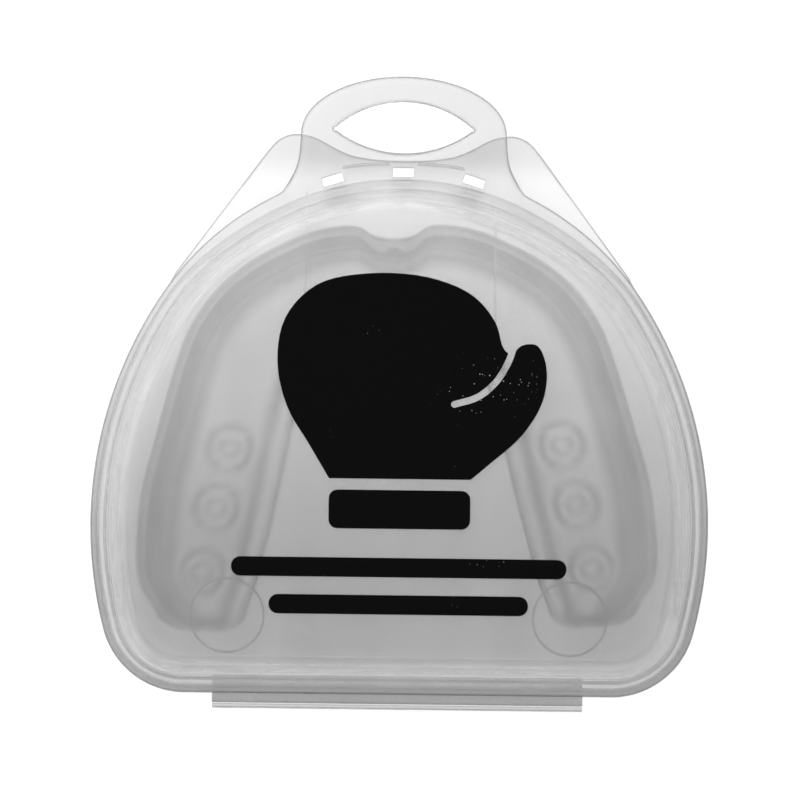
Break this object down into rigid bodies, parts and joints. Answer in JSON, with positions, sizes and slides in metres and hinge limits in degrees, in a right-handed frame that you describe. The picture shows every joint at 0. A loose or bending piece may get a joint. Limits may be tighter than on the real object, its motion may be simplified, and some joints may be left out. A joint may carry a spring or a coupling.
{
  "type": "mouthguard with case",
  "caption": "Clear hinged mouthguard case with a domed lid, carry loop and snap lip, holding a translucent arch-shaped sports mouthguard; a plain print marks the lid.",
  "frame": {"origin": "centre of the closed case's outline on the back face it lies on", "axes": "+Z out of the printed lid, +Y towards the carry loop, X along the hinge"},
  "size_m": [0.084, 0.0862, 0.0271],
  "materials": {
    "clear_case": "clear slightly milky injection moulded polypropylene, glossy",
    "guard_clear": "translucent colourless soft moulding, satin",
    "print_ink": "black pad print, satin"
  },
  "bodies": {
    "base": {"base_shell": "clear_case"},
    "hinge": {"hinge_strap": "clear_case"},
    "lid": {"lid_shell": "clear_case", "print_glove": "print_ink", "print_cuff": "print_ink", "print_stripe_1": "print_ink", "print_stripe_2": "print_ink"},
    "mouthguard": {"mouthguard_tray": "guard_clear"}
  },
  "joints": [
    {"name": "lid_hinge", "type": "hinge", "parent": "base", "child": "lid", "pos_m": [0, -0.0434, 0.0135], "axis": [1, 0, 0], "range_deg": [0, 180]},
    {"name": "strap_fold", "type": "hinge", "parent": "base", "child": "hinge", "pos_m": [0, -0.0423, 0.0124], "axis": [1, 0, 0], "range_deg": [0, 90]},
    {"name": "guard_lift", "type": "slide", "parent": "base", "child": "mouthguard", "axis": [0, 0, 1], "range_m": [0, 0.0255]}
  ],
  "couplings": [
    {"joint": "strap_fold", "follows": "lid_hinge", "ratio": 0.5},
    {"joint": "guard_lift", "follows": "lid_hinge", "m_per_rad": 0.008}
  ]
}
